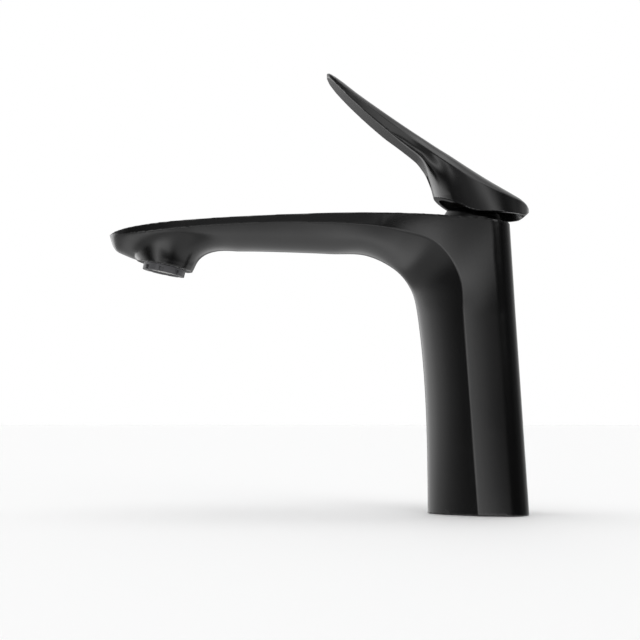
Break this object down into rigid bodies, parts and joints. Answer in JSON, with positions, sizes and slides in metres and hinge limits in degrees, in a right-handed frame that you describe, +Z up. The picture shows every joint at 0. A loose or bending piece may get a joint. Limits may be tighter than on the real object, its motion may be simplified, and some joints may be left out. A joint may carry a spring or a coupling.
{
  "type": "bathroom mixer faucet",
  "caption": "Single-lever basin mixer faucet with a leaning faceted column, a long flat-topped spout, a raised blade handle on a ceramic cartridge, and a tilted aerator.",
  "frame": {"origin": "middle of the base's footprint, on the deck plane", "axes": "+Z up from the deck, the spout runs towards -Y, +X is on the right of a user who stands at the spout's end and looks along +Y at the mixer, so hot is at -X and cold at +X"},
  "size_m": [0.0472, 0.2017, 0.2122],
  "materials": {
    "matte_black_coating": "satin black coating on cast metal",
    "black_rubber": "matte",
    "white_plastic": "moulded",
    "dark_plastic": "moulded",
    "red_plastic": "moulded",
    "white_ceramic": "lapped ceramic",
    "grey_ceramic": "lapped ceramic",
    "steel": "bright",
    "brass": "machined",
    "index_plastic": "moulded",
    "aerator_grey": "satin moulded",
    "pale_plastic": "moulded"
  },
  "bodies": {
    "fixture": {"body_casting": "matte_black_coating", "base_gasket": "black_rubber", "cartridge_base": "white_plastic", "port_seals": "black_rubber", "disc_seal": "black_rubber", "fixed_ceramic_disc": "white_ceramic", "cartridge_housing": "dark_plastic", "temperature_limit_ring": "red_plastic", "retaining_nut": "brass", "cap_seal_ring": "black_rubber", "dome_cap": "matte_black_coating", "aerator_housing": "aerator_grey", "jet_grid": "pale_plastic", "aerator_screen": "steel", "flow_regulator": "dark_plastic", "aerator_washer": "black_rubber"},
    "turret": {"rotor": "white_plastic", "pivot_pin": "steel"},
    "lever": {"lever_stem": "brass", "handle": "matte_black_coating", "handle_set_screw": "steel", "index_plug": "index_plastic"},
    "valve_slide": {"disc_carrier": "white_plastic", "moving_ceramic_disc": "grey_ceramic"}
  },
  "joints": [
    {"name": "temperature_turn", "type": "hinge", "parent": "fixture", "child": "turret", "pos_m": [0, -0.0036, 0.1382], "axis": [0, 0.1045, 0.9945], "range_deg": [-45, 45]},
    {"name": "lever_lift", "type": "hinge", "parent": "turret", "child": "lever", "pos_m": [0, -0.00412, 0.13323], "axis": [-1, 0, 0], "range_deg": [-21, 3]},
    {"name": "disc_travel", "type": "slide", "parent": "turret", "child": "valve_slide", "axis": [0, 0.9945, -0.1045], "range_m": [-0.0006, 0.0038]}
  ],
  "couplings": [
    {"joint": "disc_travel", "follows": "lever_lift", "m_per_rad": -0.0101}
  ]
}
